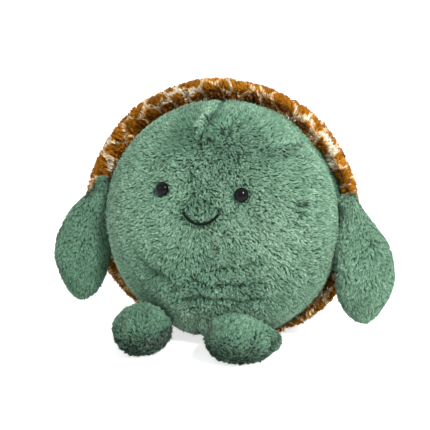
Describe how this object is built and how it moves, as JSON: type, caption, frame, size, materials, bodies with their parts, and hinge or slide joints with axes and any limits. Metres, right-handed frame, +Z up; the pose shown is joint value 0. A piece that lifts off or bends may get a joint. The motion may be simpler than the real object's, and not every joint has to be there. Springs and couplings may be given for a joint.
{
  "type": "plush turtle",
  "caption": "Round stuffed turtle that sits upright: a green face dome in a patch-print shell, bead eyes, a stitched smile, flippers and feet that swing on fabric hinges.",
  "frame": {"origin": "on the floor, under the middle of the toy's outer bounds", "axes": "+Z up, -Y the way the face looks, +X towards the turtle's own left"},
  "size_m": [0.3796, 0.2321, 0.2727],
  "materials": {
    "sage_plush": "matte short pile, sage green",
    "flipper_plush": "matte short pile, sage green",
    "foot_plush": "matte short pile, sage green",
    "print_plush": "matte longer pile, brown patches on cream",
    "body_fibre": "matte white polyester fibre",
    "limb_fibre": "matte white polyester fibre",
    "bead_black": "gloss black",
    "washer_white": "matte white nylon",
    "thread_black": "satin dark thread"
  },
  "bodies": {
    "torso": {"face_panel": "sage_plush", "side_gusset": "sage_plush", "shell_rim": "print_plush", "shell_back_left": "print_plush", "shell_back_right": "print_plush", "body_stuffing": "body_fibre", "left_eye": "bead_black", "right_eye": "bead_black", "left_eye_washer": "washer_white", "right_eye_washer": "washer_white", "smile_thread": "thread_black"},
    "left_flipper": {"left_flipper_front": "flipper_plush", "left_flipper_back": "flipper_plush", "left_flipper_stuffing": "limb_fibre"},
    "left_foot": {"left_foot_top": "foot_plush", "left_foot_sole": "foot_plush", "left_foot_stuffing": "limb_fibre"},
    "right_flipper": {"right_flipper_front": "flipper_plush", "right_flipper_back": "flipper_plush", "right_flipper_stuffing": "limb_fibre"},
    "right_foot": {"right_foot_top": "foot_plush", "right_foot_sole": "foot_plush", "right_foot_stuffing": "limb_fibre"}
  },
  "joints": [
    {"name": "left_flipper_swing", "type": "hinge", "parent": "torso", "child": "left_flipper", "pos_m": [0.1374, 0.00408, 0.1591], "axis": [0, -0.9848, 0.1736], "range_deg": [0, 90]},
    {"name": "right_flipper_swing", "type": "hinge", "parent": "torso", "child": "right_flipper", "pos_m": [-0.1374, 0.00408, 0.1591], "axis": [0, 0.9848, -0.1736], "range_deg": [0, 90]},
    {"name": "left_foot_swing", "type": "hinge", "parent": "torso", "child": "left_foot", "pos_m": [0.0615, -0.03939, 0.0115], "axis": [0, 0, 1], "range_deg": [-15, 15]},
    {"name": "right_foot_swing", "type": "hinge", "parent": "torso", "child": "right_foot", "pos_m": [-0.073, -0.02823, 0.0115], "axis": [0, 0, -1], "range_deg": [-15, 15]}
  ]
}
